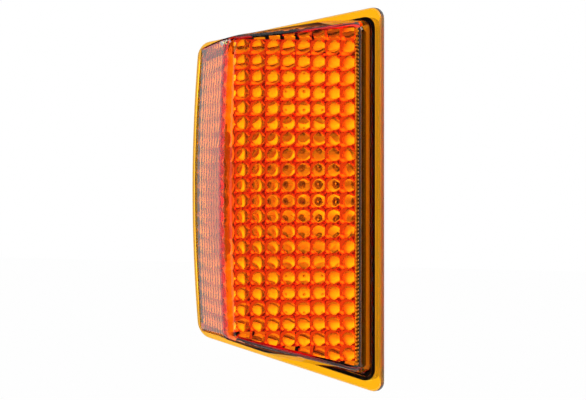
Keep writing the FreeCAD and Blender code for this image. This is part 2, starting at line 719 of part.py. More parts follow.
def base_contact():
    points = [(0, INSULATOR_Y), (CONTACT_RADIUS, INSULATOR_Y)]
    return turned(points + [(CONTACT_RADIUS - CONTACT_HEIGHT, CONTACT_Y), (0, CONTACT_Y)])


# Bulb holder and its contacts
def socket_sleeve():
    y0 = PIN_Y - SLEEVE_FRONT
    sleeve = cylinder(SLEEVE_RADIUS, y0, SLEEVE_END_Y).cut(cylinder(SLEEVE_BORE, y0, SLEEVE_END_Y))
    half = PIN_RADIUS + SLOT_PLAY
    spread = math.degrees(half / SLEEVE_BORE)
    for turn in (0.0, 180.0):
        way_in = sector(0, 2 * SLEEVE_RADIUS, y0, PIN_Y + half, turn + SLOT_TURN, 2 * spread)
        way_round = sector(0, 2 * SLEEVE_RADIUS, PIN_Y - half, PIN_Y + half, turn + SLOT_TURN / 2,
                           SLOT_TURN + 2 * spread)
        sleeve = sleeve.cut([way_in, way_round])
    return sleeve


def bulb_holder():
    nose_y = PIN_Y - NOSE_FRONT
    width = SHROUD_WIDTH / 2
    height = SHROUD_HEIGHT / 2
    half_latch = LATCH_WIDTH / 2
    latch_end = HOLDER_END - LATCH_SETBACK
    shroud_top = height + SHROUD_WALL
    half_blade = BLADE_WIDTH / 2 + BLADE_PLAY
    near = SLEEVE_RADIUS - BLADE_PLAY
    far = SLEEVE_RADIUS + BLADE_THICK + BLADE_PLAY
    body = cylinder(NOSE_RADIUS, nose_y, LUG_FRONT)
    added = [
        cylinder(HOLDER_RADIUS, LUG_FRONT, HOLDER_FLANGE_Y),
        cylinder(HOLDER_FLANGE_RADIUS, HOLDER_FLANGE_Y, GRIP_Y),
        cylinder(GRIP_RADIUS, GRIP_Y, SHROUD_Y),
        box(-width - SHROUD_WALL, width + SHROUD_WALL, FLOOR_Y, HOLDER_END, -shroud_top, shroud_top),
        box(-WING_THICK / 2, WING_THICK / 2, GRIP_Y, GRIP_Y + WING_LENGTH, -WING_SPAN, WING_SPAN),
        box(-half_latch, half_latch, latch_end - LATCH_LENGTH, latch_end, 0, shroud_top + LATCH_HEIGHT),
    ]
    for lug in range(LUG_COUNT):
        middle = 360.0 * lug / LUG_COUNT
        added.append(sector(0, HOLDER_RADIUS + LUG_REACH, LUG_FRONT, LUG_BACK, middle, LUG_ANGLE))
    removed = [
        cylinder(SLEEVE_RADIUS + SLEEVE_PLAY, nose_y, SLEEVE_END_Y),
        cylinder(SLEEVE_BORE, SLEEVE_END_Y, FLOOR_Y),
        box(-width, width, SHROUD_Y, HOLDER_END, -height, height),
        box(-far, -near, EARTH_Y - BLADE_PLAY, SHROUD_Y, -half_blade, half_blade),
        box(near, far, FLOOR_Y, SHROUD_Y, -half_blade, half_blade),
        box(0, far, PLATE_Y - BLADE_PLAY, FLOOR_Y, -half_blade, half_blade),
    ]
    return body.fuse(added).cut(removed).removeSplitter()


def holder_seal():
    radius = PORT_RADIUS + LUG_REACH + HOLDER_SEAL_COVER
    ring = cylinder(radius, HOUSING_DEPTH, HOLDER_FLANGE_Y)
    return ring.cut(cylinder(PORT_RADIUS, HOUSING_DEPTH, HOLDER_FLANGE_Y))


def insulator_disc():
    return cylinder(DISC_RADIUS, DISC_Y, SPRING_Y).cut(cylinder(BUTTON_SHANK, DISC_Y, SPRING_Y))


def contact_button():
    head = cylinder(BUTTON_RADIUS, CONTACT_Y, DISC_Y)
    return head.fuse(cylinder(BUTTON_SHANK, DISC_Y, SPRING_Y + BUTTON_HEAD))


def contact_spring():
    length = SPRING_LENGTH - 2 * SPRING_WIRE
    start = Vector(0, SPRING_Y + SPRING_WIRE, 0)
    return coil(SPRING_RADIUS, SPRING_WIRE, length, SPRING_TURNS, start, Vector(0, 1, 0))


def blade(x0, y0):
    half = BLADE_WIDTH / 2
    strip = box(x0, x0 + BLADE_THICK, y0, BLADE_END, -half, half)
    corners = [edge for edge in strip.Edges if edge.BoundBox.YMin > BLADE_END - 0.01]
    corners = [edge for edge in corners if edge.BoundBox.ZLength > BLADE_THICK]
    return strip.makeChamfer(BLADE_THICK / 3, corners)


def live_terminal():
    half = BLADE_WIDTH / 2
    reach = SPRING_RADIUS + SPRING_WIRE
    plate = box(-reach, SLEEVE_RADIUS + BLADE_THICK, PLATE_Y, FLOOR_Y, -half, half)
    return plate.fuse(blade(SLEEVE_RADIUS, PLATE_Y)).removeSplitter()


def earth_terminal():
    return blade(-SLEEVE_RADIUS - BLADE_THICK, EARTH_Y)


PIECES = [
    lens, lens_seal, housing, reflector, reflector_screws, mounting_studs, breather_cap,
    bulb_glass, bulb_stem, filament_supports, filament, bulb_cap, bayonet_pins, cap_insulator,
    base_contact, bulb_holder, holder_seal, socket_sleeve, insulator_disc, contact_button,
    contact_spring, live_terminal, earth_terminal,
]

os.makedirs("parts", exist_ok=True)
for piece in PIECES:
    piece().exportStep(f"parts/{piece.__name__}.step")
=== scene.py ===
# %% [markdown]
# # Corner indicator lamp
# An amber corner lamp for the nose of a truck or van. The engineering model is loaded first and stays
# as it is. It already holds every piece at its true size, so this script has three jobs: to rebuild the
# lens and the studs with their fine forms, to give each piece its finish, and to set the camera and the
# light.

# %% Load the engineering model
import json
import math

import bmesh
import bpy
from mathutils import Matrix, Vector

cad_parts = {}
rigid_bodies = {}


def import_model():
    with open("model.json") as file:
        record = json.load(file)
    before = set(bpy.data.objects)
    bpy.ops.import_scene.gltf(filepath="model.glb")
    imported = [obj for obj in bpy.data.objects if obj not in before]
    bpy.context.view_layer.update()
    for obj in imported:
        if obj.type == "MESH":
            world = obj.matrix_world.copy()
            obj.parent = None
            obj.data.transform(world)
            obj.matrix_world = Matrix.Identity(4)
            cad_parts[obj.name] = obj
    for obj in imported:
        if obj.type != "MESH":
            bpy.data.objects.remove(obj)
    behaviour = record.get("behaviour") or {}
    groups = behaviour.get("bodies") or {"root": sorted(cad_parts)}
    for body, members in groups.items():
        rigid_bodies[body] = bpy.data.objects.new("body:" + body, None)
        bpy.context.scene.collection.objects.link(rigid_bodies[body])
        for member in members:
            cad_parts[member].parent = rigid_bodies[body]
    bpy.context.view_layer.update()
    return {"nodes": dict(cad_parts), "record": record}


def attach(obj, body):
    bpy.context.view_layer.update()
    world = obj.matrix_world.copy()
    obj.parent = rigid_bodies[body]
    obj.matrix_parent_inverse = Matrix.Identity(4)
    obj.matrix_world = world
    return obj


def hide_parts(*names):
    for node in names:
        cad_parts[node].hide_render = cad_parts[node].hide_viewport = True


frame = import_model()
nodes = frame["nodes"]

# %% [markdown]
# ## The camera
# The lamp was pictured almost square to its front window, from lamp height and from some way off, so its
# upright edges stay upright. A long lens at 0.9 m gives that view. A camera that tilts would make the
# uprights lean, so the framing is done with a small lens shift instead.

# %% Place the camera
IMAGE_WIDTH = 586
IMAGE_HEIGHT = 400
SENSOR_WIDTH = 36
LOOK_AT = Vector((0, -0.020, 0))
LOOK_AT_PIXEL = (264.5, 193)
VIEW_ANGLE = math.radians(34)
DISTANCE = 0.9
PIXELS_PER_METRE = 2140

camera_data = bpy.data.cameras.new("camera")
camera_data.sensor_fit = "HORIZONTAL"
camera_data.sensor_width = SENSOR_WIDTH
camera_data.lens = SENSOR_WIDTH * DISTANCE * PIXELS_PER_METRE / IMAGE_WIDTH
camera_data.shift_x = (IMAGE_WIDTH / 2 - LOOK_AT_PIXEL[0]) / IMAGE_WIDTH
camera_data.shift_y = (LOOK_AT_PIXEL[1] - IMAGE_HEIGHT / 2) / IMAGE_WIDTH
camera_data.clip_start = 0.01
camera = bpy.data.objects.new("camera", camera_data)
bpy.context.scene.collection.objects.link(camera)
camera.location = LOOK_AT + DISTANCE * Vector((math.sin(VIEW_ANGLE), -math.cos(VIEW_ANGLE), 0))
camera.rotation_euler = (math.radians(90), 0, VIEW_ANGLE)
bpy.context.scene.camera = camera
print("focal length: %.1f mm" % camera_data.lens)

# %% [markdown]
# ## Sizes of the lens
# The lens is two flat windows at a right angle with a round corner between them. It stands on a flange
# whose top and bottom edges slope apart. The side window is crowned, so it bows a little from top to
# bottom, and the flange's left edge bows with it. The outer sizes are those of the engineering model, in
# metres. These are the ones that every step shares, and each step names its own.

# %% Name the lens sizes
MM = 0.001
LENS_DEPTH = 55.2 * MM
CROWN_RADIUS = 1.05
FLANGE_TOP = 79.5 * MM
FLANGE_BOTTOM = 80.7 * MM
FLANGE_THICK = 3.0 * MM
LEFT_WIDTH = 2.4 * MM
SEAT_WIDTH = 5.0 * MM

TURN = math.sqrt(0.5)
APEX = Vector((0, -LENS_DEPTH, 0))
FRONT_RUN = Vector((TURN, TURN, 0))
SIDE_RUN = Vector((-TURN, TURN, 0))
FRONT_INWARD = SIDE_RUN
SIDE_INWARD = FRONT_RUN
HALF_HEIGHT = (FLANGE_TOP + FLANGE_BOTTOM) / 2 - SEAT_WIDTH


def crown_sag(z):
    return CROWN_RADIUS - math.sqrt(CROWN_RADIUS ** 2 - z ** 2)


LEFT_BOW = crown_sag(HALF_HEIGHT) / TURN
FLANGE_LEFT = LENS_DEPTH - FLANGE_THICK - LEFT_BOW + LEFT_WIDTH
print("crown: %.2f mm, bow of the left edge: %.2f mm" % (crown_sag(HALF_HEIGHT) / MM, LEFT_BOW / MM))

# %% [markdown]
# ## Cutting with planes
# Most of the lens is bounded by flat walls that lean by a few degrees, so that it leaves its mould. Its
# corners could be worked out and joined by hand, but where leaning planes meet, that takes many sums. The
# quicker way is a cutter's: start from a block and slice pieces off. Each slice leaves a hole, and the
# hole is filled at once, so the block is closed again.

# %% Slice a block


def score(bm, point, across, clear=False):
    """Adds edges where a plane meets the block, and can clear what lies beyond it."""
    everything = bm.verts[:] + bm.edges[:] + bm.faces[:]
    cut = bmesh.ops.bisect_plane(bm, geom=everything, dist=1e-8, plane_co=point, plane_no=across,
                                 clear_outer=clear)
    return [item for item in cut["geom_cut"] if isinstance(item, bmesh.types.BMEdge)]


def slice_off(bm, point, outward):
    """Removes what lies beyond a plane and closes the cut."""
    edges = score(bm, point, outward, clear=True)
    bmesh.ops.holes_fill(bm, edges=edges, sides=0)


# %% [markdown]
# ## The walls
# The top and the bottom wall have two facets each: one runs back from the front window, the other from
# the side window, and they meet in a crease that starts at the upright corner. Each facet is a plane with
# a level, a slope along the flange and a draft. The side facets get the draft at which they meet the
# front ones at the corner, so there is only one size to choose for the two.

# %% Describe the walls
FLANGE_RIGHT = 53.0 * MM
RIGHT_WIDTH = 5.5 * MM
TOP_WIDTH = 5.8 * MM
BOTTOM_WIDTH = 7.2 * MM
SIDE_WIDTH = 1.7 * MM
TOP_SLOPE = 0.127
BOTTOM_SLOPE = 0.2245
TOP_WALL_SLOPE = -0.048
BOTTOM_WALL_SLOPE = 0.113
TOP_DRAFT = math.tan(math.radians(12.2))
BOTTOM_DRAFT = math.tan(math.radians(14.5))
HOOD_RIGHT = FLANGE_RIGHT - RIGHT_WIDTH
HOOD_REACH = LENS_DEPTH - FLANGE_THICK


def flange_top(x, inset):
    return FLANGE_TOP + TOP_SLOPE * x - inset * math.hypot(1, TOP_SLOPE)


def flange_bottom(x, inset):
    return FLANGE_BOTTOM + BOTTOM_SLOPE * x - inset * math.hypot(1, BOTTOM_SLOPE)


print("hood: right wall at %.1f mm, reach %.1f mm" % (HOOD_RIGHT / MM, HOOD_REACH / MM))

# %% Slice the walls


def slice_facets(bm, up, front, side, offset):
    """Slices a top (up = 1) or bottom (up = -1) wall; a facet is its height, its slope and its draft."""
    height, slope, draft = front
    side_height, side_slope = side
    side_draft = draft - (height - side_height) / HOOD_REACH
    for level, along, back in ((height, slope, draft), (side_height, side_slope, side_draft)):
        point = Vector((0, -FLANGE_THICK, up * (level - offset * math.hypot(1, along))))
        slice_off(bm, point, Vector((-along, -back, up)).normalized())


def drafted_walls(bm, offset, right_draft):
    """Slices a block along the right, top and bottom walls, moved in by an offset."""
    slice_off(bm, Vector((HOOD_RIGHT - offset, 0, 0)), Vector((1, -right_draft, 0)).normalized())
    top = flange_top(HOOD_RIGHT, TOP_WIDTH) - TOP_WALL_SLOPE * HOOD_RIGHT
    side_top = (flange_top(0, SIDE_WIDTH), TOP_SLOPE)
    slice_facets(bm, 1, (top, TOP_WALL_SLOPE, TOP_DRAFT), side_top, offset)
    bottom = flange_bottom(HOOD_RIGHT, BOTTOM_WIDTH) - BOTTOM_WALL_SLOPE * HOOD_RIGHT
    side_bottom = (flange_bottom(0, SIDE_WIDTH), BOTTOM_SLOPE)
    slice_facets(bm, -1, (bottom, BOTTOM_WALL_SLOPE, BOTTOM_DRAFT), side_bottom, offset)


# %% [markdown]
# ## The hood of the lens
# The hood is the part that stands out from the vehicle. A block is sliced to its walls and windows, and
# scored into level bands, so that the side window can be bowed. Then the upright corner and the rims are
# rounded with a bevel. Rounding comes last, because a bevel follows whatever edge it is given.

# %% Shape the hood
RIGHT_DRAFT = math.tan(math.radians(10.0))
BLOCK_SIZE = 0.4
BANDS = 24
ON_PLANE = 1e-6

hood = bmesh.new()
bmesh.ops.create_cube(hood, size=BLOCK_SIZE)
slice_off(hood, Vector((0, LENS_DEPTH, 0)), Vector((0, 1, 0)))
drafted_walls(hood, 0, RIGHT_DRAFT)
slice_off(hood, APEX, -FRONT_INWARD)
slice_off(hood, APEX, -SIDE_INWARD)
for band in range(1, BANDS):
    score(hood, Vector((0, 0, (band / BANDS - 0.5) * 2 * HALF_HEIGHT)), Vector((0, 0, 1)))

side_verts = [vert for vert in hood.verts if abs((vert.co - APEX).dot(SIDE_INWARD)) < ON_PLANE]
corner_verts = [vert for vert in side_verts if abs((vert.co - APEX).dot(FRONT_INWARD)) < ON_PLANE]
for vert in side_verts:
    vert.co += SIDE_INWARD * crown_sag(vert.co.z)
corner_edges = [edge for edge in hood.edges if all(vert in corner_verts for vert in edge.verts)]
print("hood before rounding:", len(hood.faces), "faces,", len(corner_edges), "corner edges")

# %% Pick the edges to round
CORNER_RADIUS = 6.5 * MM
WALL_CORNER = 4.0 * MM
RIM_RADIUS = 1.5 * MM
FLAT_ANGLE = 0.002


def round_edges(bm, edges, radius, segments):
    bmesh.ops.bevel(bm, geom=edges, offset=radius, offset_type="OFFSET", segments=segments, profile=0.5,
                    affect="EDGES", material=-1, clamp_overlap=False)


def is_wall_corner(edge):
    """An edge between the right wall and the top or bottom wall."""
    along = (edge.verts[1].co - edge.verts[0].co).normalized()
    at_right = min(vert.co.x for vert in edge.verts) > FLANGE_RIGHT / 2
    return at_right and abs(along.y) > 0.9 and edge.calc_face_angle() > 0.5


def is_rim(edge):
    """An edge between a window and a wall, clear of the flange."""
    looks_forward = {face.normal.y < -0.4 for face in edge.link_faces}
    return len(looks_forward) == 2 and min(vert.co.y for vert in edge.verts) < -FLANGE_THICK


print("radii: %.1f, %.1f and %.1f mm" % (CORNER_RADIUS / MM, WALL_CORNER / MM, RIM_RADIUS / MM))

# %% Round the hood


def to_object(bm, name):
    """Turns a finished bmesh into an object of the scene."""
    mesh = bpy.data.meshes.new(name)
    bm.to_mesh(mesh)
    bm.free()
    piece = bpy.data.objects.new(name, mesh)
    bpy.context.scene.collection.objects.link(piece)
    return piece


round_edges(hood, corner_edges, CORNER_RADIUS, segments=10)
bmesh.ops.dissolve_limit(hood, angle_limit=FLAT_ANGLE, verts=hood.verts[:], edges=hood.edges[:])
hood.normal_update()
round_edges(hood, [edge for edge in hood.edges if is_wall_corner(edge)], WALL_CORNER, segments=5)
slice_off(hood, Vector((0, -FLANGE_THICK / 2, 0)), Vector((0, 1, 0)))
hood.normal_update()
round_edges(hood, [edge for edge in hood.edges if is_rim(edge)], RIM_RADIUS, segments=4)
bmesh.ops.recalc_face_normals(hood, faces=hood.faces)
lens = to_object(hood, "amber_lens")
print("hood:", len(lens.data.polygons), "faces")

# %% [markdown]
# ## The flange and the tongue
# The flange is a flat rim that seats on the body panel, and the tongue behind it presses into the seal.
# Both follow one outline: three straight edges and a bowed left edge. A filled curve could give it, but
# its corners would have to be placed for each size. So the outline is a single face with four corners,
# which a bevel rounds, and the face is pushed back to the thickness wanted.

# %% Make slabs of the outline


def push_back(bm, distance):
    """Gives the faces of a sheet a thickness along y."""
    push = bmesh.ops.extrude_face_region(bm, geom=bm.faces[:])
    moved = [item for item in push["geom"] if isinstance(item, bmesh.types.BMVert)]
    bmesh.ops.translate(bm, verts=moved, vec=(0, distance, 0))
    bmesh.ops.recalc_face_normals(bm, faces=bm.faces)


def rise(edge):
    return abs(edge.verts[1].co.z - edge.verts[0].co.z)


def outline_slab(right, left, end, y0, y1, corner_radius):
    """Slab with the flange's outline, its edges moved in by the given widths."""
    bm = bmesh.new()
    x_right = FLANGE_RIGHT - right
    x_left = left - FLANGE_LEFT
    corners = [(x, flange_top(x, end)) for x in (x_right, x_left)]
    corners += [(x, -flange_bottom(x, end)) for x in (x_left, x_right)]
    verts = [bm.verts.new((x, y0, z)) for x, z in corners]
    bm.faces.new(verts)
    bmesh.ops.bevel(bm, geom=verts, offset=corner_radius, offset_type="OFFSET", segments=6, profile=0.5,
                    affect="VERTICES", material=-1)
    bowed = x_left + corner_radius
    left_edge = max((edge for edge in bm.edges if edge.verts[0].co.x < bowed), key=rise)
    bmesh.ops.subdivide_edges(bm, edges=[left_edge], cuts=15)
    low, high = corners[2][1], corners[1][1]
    for vert in bm.verts:
        if vert.co.x < bowed:
            share = (vert.co.z - low) / (high - low)
            vert.co.x -= 4 * LEFT_BOW * share * (1 - share)
    push_back(bm, y1 - y0)
    return bm


def wall_slab(inset, y0, y1):
    """Slab that follows the foot of the walls, moved in by an inset."""
    radius = max(WALL_CORNER - inset, WALL_CORNER / 3)
    return outline_slab(RIGHT_WIDTH + inset, LEFT_WIDTH + inset, SEAT_WIDTH + inset, y0, y1, radius)


# %% Join the flange and the tongue
CORNER_LEDGE = 1.2 * MM
FLANGE_CORNER = 6.0 * MM
FLANGE_ROUND = 1.0 * MM
SEAT_STEP = 0.6 * MM
SEAT_REACH = 1.7 * MM
TONGUE_OUTSIDE = 0.6 * MM
TONGUE_INSIDE = 2.2 * MM
TONGUE_ROOT = 0.5 * MM
TONGUE_END = 2.4 * MM
TONGUE_CLEAR = 3.0 * MM


def combine(piece, tool, operation):
    """Joins a tool to a piece or cuts it away, and keeps the result."""
    boolean = piece.modifiers.new(operation, "BOOLEAN")
    boolean.operation = operation
    boolean.solver = "MANIFOLD"
    boolean.object = tool
    graph = bpy.context.evaluated_depsgraph_get()
    mesh = bpy.data.meshes.new_from_object(piece.evaluated_get(graph))
    piece.modifiers.clear()
    piece.data = mesh
    bpy.data.objects.remove(tool)


trim = outline_slab(0, CORNER_LEDGE, CORNER_LEDGE, -2 * LENS_DEPTH, 0, FLANGE_CORNER)
combine(lens, to_object(trim, "corner_trim"), "INTERSECT")
flange = outline_slab(0, 0, 0, -FLANGE_THICK, 0, FLANGE_CORNER)
front_verts = [vert for vert in flange.verts if vert.co.y < ON_PLANE - FLANGE_THICK]
front_edges = [edge for edge in flange.edges if all(vert in front_verts for vert in edge.verts)]
round_edges(flange, front_edges, FLANGE_ROUND, segments=4)
combine(lens, to_object(flange, "flange"), "UNION")
seat = wall_slab(-SEAT_REACH, -SEAT_STEP, SEAT_STEP)
combine(lens, to_object(seat, "seat"), "DIFFERENCE")
tongue = wall_slab(TONGUE_OUTSIDE, -SEAT_STEP - TONGUE_ROOT, TONGUE_END)
combine(lens, to_object(tongue, "tongue"), "UNION")
inside_of_tongue = wall_slab(TONGUE_INSIDE, -SEAT_STEP, TONGUE_CLEAR)
combine(lens, to_object(inside_of_tongue, "inside_of_tongue"), "DIFFERENCE")
print("lens body:", len(lens.data.polygons), "faces")

# %% [markdown]
# ## The pillows
# Both windows carry a grid of small square pillows on their inner faces. Each one is a lens of its own: it
# spreads the light and shows a small picture of the reflector, and the hole in the middle of the reflector
# becomes a dark dot. In the real mould each pillow is a polished pocket. A bump in the material could shade
# such pillows but not bend the view through them, so they are real. A flat grid is laid along the section
# of the two windows, each of its points is lifted by two parabolas, and the grid is pushed back to make the
# whole room inside the lens. The corner between the windows is thick and has only shallow rows. A narrow
# strip of fine teeth runs down the right-hand end of the front grid.

# %% Describe the inner faces
PILLOW_PITCH = 7.0 * MM
PILLOW_CUTS = 8
COLUMNS = 8
FACE_WALL = 1.2 * MM
PILLOW_RISE = 2.0 * MM
SIDE_FACE = 1.5 * MM
SIDE_RISE = 0.9 * MM
CORNER_RISE = 5.8 * MM
TOOTH_RISE = 0.6 * MM
MARGIN_STEPS = [step * MM for step in (50.0, 20.0, 10.0, 4.0, 3.0, 2.2, 1.2, 0.15)]
GRID_END = CORNER_RADIUS + COLUMNS * PILLOW_PITCH


def bulge(share, rise):
    return 4 * rise * share * (1 - share)


def on_teeth(share, z):
    """Point of the strip of teeth, and of the spare margin beyond it."""
    run = GRID_END + MARGIN_STEPS[round(share * PILLOW_CUTS)]
    tooth = round(z / PILLOW_PITCH * PILLOW_CUTS) % 2
    return APEX + FRONT_RUN * run + FRONT_INWARD * (FACE_WALL + TOOTH_RISE * tooth)


def on_front(column, share, row_share):
    """Point of a front pillow; its column is counted from the right."""
    run = GRID_END - PILLOW_PITCH * (column + share)
    lift = bulge(share, PILLOW_RISE) + bulge(row_share, PILLOW_RISE)
    return APEX + FRONT_RUN * run + FRONT_INWARD * (FACE_WALL + lift)


def on_corner(share, row_share, sag):
    """Point of the thick corner, a parabola from window to window."""
    pull = 2 * TURN * CORNER_RISE
    first = APEX + FRONT_RUN * CORNER_RADIUS + FRONT_INWARD * FACE_WALL
    middle = APEX + FRONT_INWARD * (FACE_WALL + pull) + SIDE_INWARD * (SIDE_FACE + pull + sag)
    last = APEX + SIDE_RUN * CORNER_RADIUS + SIDE_INWARD * (SIDE_FACE + sag)
    point = first * (1 - share) ** 2 + middle * 2 * share * (1 - share) + last * share ** 2
    inward = (FRONT_INWARD * (1 - share) + SIDE_INWARD * share).normalized()
    fade = max(SIDE_RISE / PILLOW_RISE, 1 - 4 * share)
    return point + inward * bulge(row_share, PILLOW_RISE) * fade


def on_side(column, share, row_share, sag):
    """Point of a side pillow, its column counted from the corner, or of the spare margin beyond."""
    run = CORNER_RADIUS + PILLOW_PITCH * (column + share)
    lift = bulge(row_share, SIDE_RISE) + bulge(share, SIDE_RISE)
    if column == COLUMNS:
        run = GRID_END + MARGIN_STEPS[0] * share
        lift = bulge(row_share, SIDE_RISE)
    return APEX + SIDE_RUN * run + SIDE_INWARD * (SIDE_FACE + lift + sag)


print("front grid ends %.1f mm from the corner" % (GRID_END / MM))

# %% Lay the pillow grid
ROWS_DOWN = 14
ROWS_UP = 13
COLUMN_COUNT = 2 * COLUMNS + 3


def on_section(column, share, z):
    """Point of the inner faces: a column counted from the right, and a share of its width."""
    row_share = (z / PILLOW_PITCH) % 1
    if column == 0:
        return on_teeth(share, z)
    if column <= COLUMNS:
        return on_front(column - 1, share, row_share)
    if column == COLUMNS + 1:
        return on_corner(share, row_share, crown_sag(z))
    return on_side(column - COLUMNS - 2, share, row_share, crown_sag(z))


across = COLUMN_COUNT * PILLOW_CUTS
upright = (ROWS_DOWN + ROWS_UP) * PILLOW_CUTS
room = bmesh.new()
bmesh.ops.create_grid(room, x_segments=across, y_segments=upright, size=0.5)
for vert in room.verts:
    step = round((vert.co.x + 0.5) * across)
    column = min(step // PILLOW_CUTS, COLUMN_COUNT - 1)
    z = (round((vert.co.y + 0.5) * upright) / PILLOW_CUTS - ROWS_DOWN) * PILLOW_PITCH
    point = on_section(column, step / PILLOW_CUTS - column, z)
    vert.co = (point.x, point.y, z)
print("pillow grid:", len(room.faces), "faces")

# %% [markdown]
# The room is then sliced to the inside of the walls and cut out of the lens. Its right-hand wall leans less
# than the outer one, so the wall is thinner at the window and the strip of teeth shows beside it.

# %% Close the room and cut it out
SIDE_WALL = 2.6 * MM
ROOM_DRAFT = math.tan(math.radians(4.5))
ROOM_DEPTH = 0.15
ROOM_END = 5.0 * MM
LEFT_TANGENTS = (-1.0, -0.6, -0.2, 0.2, 0.6, 1.0)


def left_limit(bm):
    """Slices the room along the bowed inside of the left wall, with planes that touch the bow."""
    x_middle = LEFT_WIDTH + SIDE_WALL - FLANGE_LEFT - LEFT_BOW
    curve = LEFT_BOW / HALF_HEIGHT ** 2
    for share in LEFT_TANGENTS:
        z = share * HALF_HEIGHT
        outward = Vector((-1, 0, 2 * curve * z)).normalized()
        slice_off(bm, Vector((x_middle + curve * z * z, 0, z)), outward)


push_back(room, ROOM_DEPTH)
slice_off(room, Vector((0, ROOM_END, 0)), Vector((0, 1, 0)))
drafted_walls(room, SIDE_WALL, ROOM_DRAFT)
left_limit(room)
combine(lens, to_object(room, "room"), "DIFFERENCE")
print("lens:", len(lens.data.polygons), "faces")

# %% Smooth the lens


def shade_smooth(piece, angle):
    """Smooth shading, with edges that turn by more than the angle left sharp."""
    for polygon in piece.data.polygons:
        polygon.use_smooth = True
    piece.data.set_sharp_from_angle(angle=math.radians(angle))


shade_smooth(lens, angle=24)
flatten = lens.modifiers.new("flat_windows", "WEIGHTED_NORMAL")
flatten.mode = "FACE_AREA"
flatten.weight = 80
flatten.keep_sharp = True
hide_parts("lens")
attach(lens, "lamp")
print("lens points:", len(lens.data.vertices))

# %% [markdown]
# ## The studs
# Two 6 mm studs stand out of the housing's back. A real thread is rolled into the bar. A thread is only a
# wedge that winds round a bar once in each pitch, so here a disc is extruded from ring to ring, and the
# radius of each point follows its angle and its place along the bar. The hexagonal head and the neck are
# rings too.

# %% Describe the rings of a stud
STUD_HEAD = (21.8 * MM, 25.8 * MM)
STUD_NECK_END = 27.0 * MM
STUD_END = 43.8 * MM
HEAD_FLATS = 10.0 * MM
NECK_RADIUS = 3.6 * MM
THREAD_CREST = 3.0 * MM
THREAD_ROOT = 2.5 * MM
THREAD_PITCH = 1.0 * MM
TIP_RADIUS = 2.25 * MM
RINGS_A_PITCH = 8


def hexagon(angle, y):
    return HEAD_FLATS / 2 / math.cos(angle % (math.pi / 3) - math.pi / 6)


def neck(angle, y):
    return NECK_RADIUS


def thread(angle, y):
    wedge = abs(2 * ((y / THREAD_PITCH - angle / math.tau) % 1) - 1)
    tapered = TIP_RADIUS + STUD_END - y
    return min(THREAD_ROOT + (THREAD_CREST - THREAD_ROOT) * wedge, tapered)


thread_length = STUD_END - STUD_NECK_END
ring_count = round(thread_length / THREAD_PITCH * RINGS_A_PITCH)
rings = [(STUD_HEAD[0], hexagon), (STUD_HEAD[1], hexagon), (STUD_HEAD[1], neck), (STUD_NECK_END, neck)]
for step in range(ring_count + 1):
    rings.append((STUD_NECK_END + thread_length * step / ring_count, thread))
print("rings in a stud:", len(rings))

# %% Pile up the studs
STUD_PLACES = (55.0 * MM, -55.0 * MM)
RING_STEPS = 24


def pile_rings(bm, rings, z):
    """Extrudes a disc from ring to ring; a ring is a place along the bar and a rule for its radius."""
    upright = Matrix.Translation((0, 0, z)) @ Matrix.Rotation(math.radians(90), 4, "X")
    disc = bmesh.ops.create_circle(bm, cap_ends=True, segments=RING_STEPS, radius=1, matrix=upright)
    end = disc["verts"][0].link_faces[0]
    for count, (y, radius) in enumerate(rings):
        if count:
            push = bmesh.ops.extrude_face_region(bm, geom=[end, *end.edges])
            end = next(item for item in push["geom"] if isinstance(item, bmesh.types.BMFace))
        for vert in end.verts:
            angle = math.atan2(vert.co.z - z, vert.co.x)
            reach = radius(angle, y)
            vert.co = (reach * math.cos(angle), y, z + reach * math.sin(angle))


pile = bmesh.new()
for z in STUD_PLACES:
    pile_rings(pile, rings, z)
bmesh.ops.recalc_face_normals(pile, faces=pile.faces)
studs = to_object(pile, "threaded_studs")
shade_smooth(studs, angle=35)
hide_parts("mounting_studs")
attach(studs, "lamp")
print("studs:", len(studs.data.polygons), "faces")

# %% [markdown]
# ## Shader arithmetic
# Finishes are built from nodes. Wiring them one by one is slow to read, so a small class wraps a node's
# output and lets Python's own operators add the Math nodes. Any other node comes from one method, which
# takes its type, its settings and what its sockets get.

# %% Wrap sockets


class Signal:
    """An output socket that can be used in sums."""

    def __init__(self, finish, socket):
        self.finish = finish
        self.socket = socket

    def maths(self, operation, first, second):
        return self.finish.add("ShaderNodeMath", {"operation": operation}, {0: first, 1: second})

    def __add__(self, other):
        return self.maths("ADD", self, other)

    __radd__ = __add__

    def __mul__(self, other):
        return self.maths("MULTIPLY", self, other)

    __rmul__ = __mul__

    def __sub__(self, other):
        return self.maths("SUBTRACT", self, other)

    def __rsub__(self, other):
        return self.maths("SUBTRACT", other, self)

    def least(self, other):
        return self.maths("MINIMUM", self, other)

    def most(self, other):
        return self.maths("MAXIMUM", self, other)


# %% Gather the nodes of a finish


